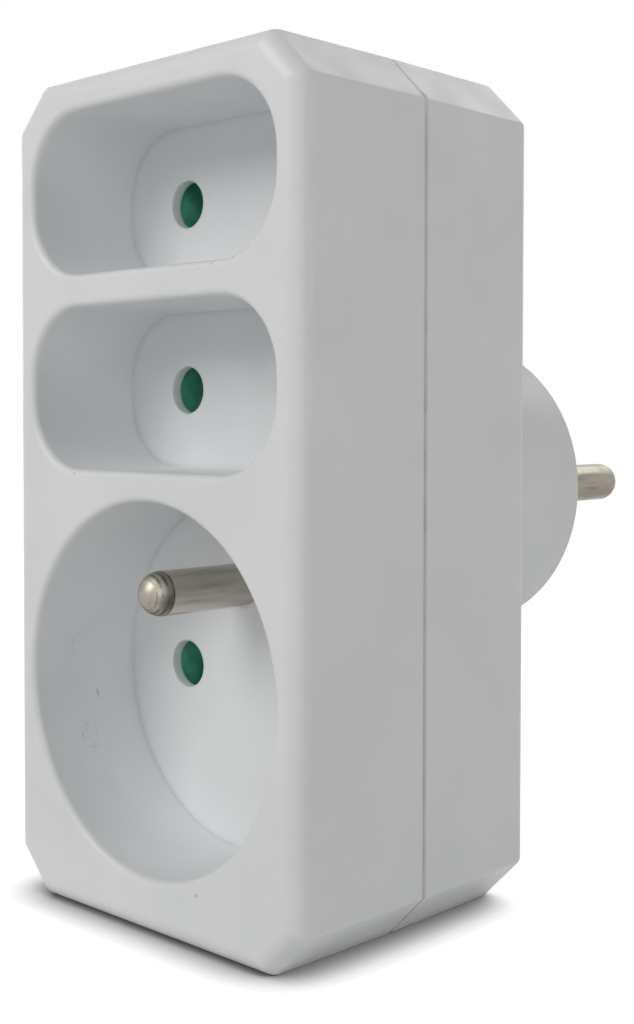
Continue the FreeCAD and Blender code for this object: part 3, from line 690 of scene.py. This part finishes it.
def add_lamp(stage, name, turn, height):
    """Square soft lamp that looks at the middle of the part."""
    data = bpy.data.lights.new(name, "AREA")
    data.shape = "SQUARE"
    data.size = stage.lamp_size
    data.energy = getattr(stage, f"{name}_power")
    data.color = stage.lamp_tint
    lamp = bpy.data.objects.new(name, data)
    angles = Euler((math.radians(-height), 0, math.radians(turn)), "XYZ")
    away = angles.to_matrix() @ Vector((0, -1, 0))
    lamp.location = (cad_low + cad_high) / 2 + away * stage.lamp_distance
    lamp.rotation_euler = away.to_track_quat("Z", "Y").to_euler()
    bpy.context.scene.collection.objects.link(lamp)


class ADAPTER_OT_stage(bpy.types.Operator):
    """Set the white floor, the lamps, the soft world and the camera"""

    bl_idname = "adapter.stage"
    bl_label = "Set stage"

    def execute(self, context):
        scene = context.scene
        stage = scene.adapter_stage
        half = stage.floor_size / 2
        corners = [(-half, -half, 0), (half, -half, 0), (half, half, 0), (-half, half, 0)]
        mesh = bpy.data.meshes.new("floor")
        mesh.from_pydata(corners, [], [(0, 1, 2, 3)])
        mesh.materials.append(floor_material(stage))
        floor = bpy.data.objects.new("floor", mesh)
        scene.collection.objects.link(floor)

        for name, turn, height in LAMPS:
            add_lamp(stage, name, turn, height)

        world = bpy.data.worlds.new("soft_studio")
        world.use_nodes = True
        tree = world.node_tree
        tree.nodes.clear()
        strength = [seen_directly(tree), 0, 1, stage.world_strength, 1]
        strength = add_node(tree, RANGE, strength, **SMOOTH)
        sky = {"Color": (1, 1, 1), "Strength": strength}
        sky = add_node(tree, "ShaderNodeBackground", sky)
        add_node(tree, "ShaderNodeOutputWorld", [sky])
        scene.world = world

        data = bpy.data.cameras.new("camera")
        data.lens = stage.lens
        data.sensor_width = SENSOR_WIDTH
        data.shift_x = stage.shift_x
        data.shift_y = stage.shift_y
        data.clip_start = stage.clip_start
        camera = bpy.data.objects.new("camera", data)
        camera.location = stage.camera_place
        camera.rotation_euler = Euler(stage.camera_turn, "XYZ")
        scene.collection.objects.link(camera)
        scene.camera = camera
        scene.view_settings.view_transform = "Standard"
        return {"FINISHED"}


STEPS = (
    ADAPTER_OT_stage,
    ADAPTER_OT_shells,
    ADAPTER_OT_shutters,
    ADAPTER_OT_pins,
    ADAPTER_OT_contacts,
    ADAPTER_OT_screws,
)


class ADAPTER_PT_panel(bpy.types.Panel):
    """Steps and settings of the adapter"""

    bl_idname = "ADAPTER_PT_panel"
    bl_label = "Triple adapter"
    bl_space_type = "VIEW_3D"
    bl_region_type = "UI"
    bl_category = "Adapter"

    def draw(self, context):
        for step in STEPS:
            self.layout.operator(step.bl_idname)
        for name, group in SETTINGS.items():
            box = self.layout.box()
            for prop in group.__annotations__:
                box.prop(getattr(context.scene, name), prop)


def register():
    for group in SETTINGS.values():
        bpy.utils.register_class(group)
    for name, group in SETTINGS.items():
        setattr(bpy.types.Scene, name, PointerProperty(type=group))
    for step in STEPS:
        bpy.utils.register_class(step)
    bpy.utils.register_class(ADAPTER_PT_panel)


def unregister():
    bpy.utils.unregister_class(ADAPTER_PT_panel)
    for step in reversed(STEPS):
        bpy.utils.unregister_class(step)
    for name in SETTINGS:
        delattr(bpy.types.Scene, name)
    for group in reversed(list(SETTINGS.values())):
        bpy.utils.unregister_class(group)


def main():
    register()
    bpy.ops.adapter.stage()
    bpy.ops.adapter.shells()
    bpy.ops.adapter.shutters()
    bpy.ops.adapter.pins()
    bpy.ops.adapter.contacts()
    bpy.ops.adapter.screws()


if __name__ == "__main__":
    main()
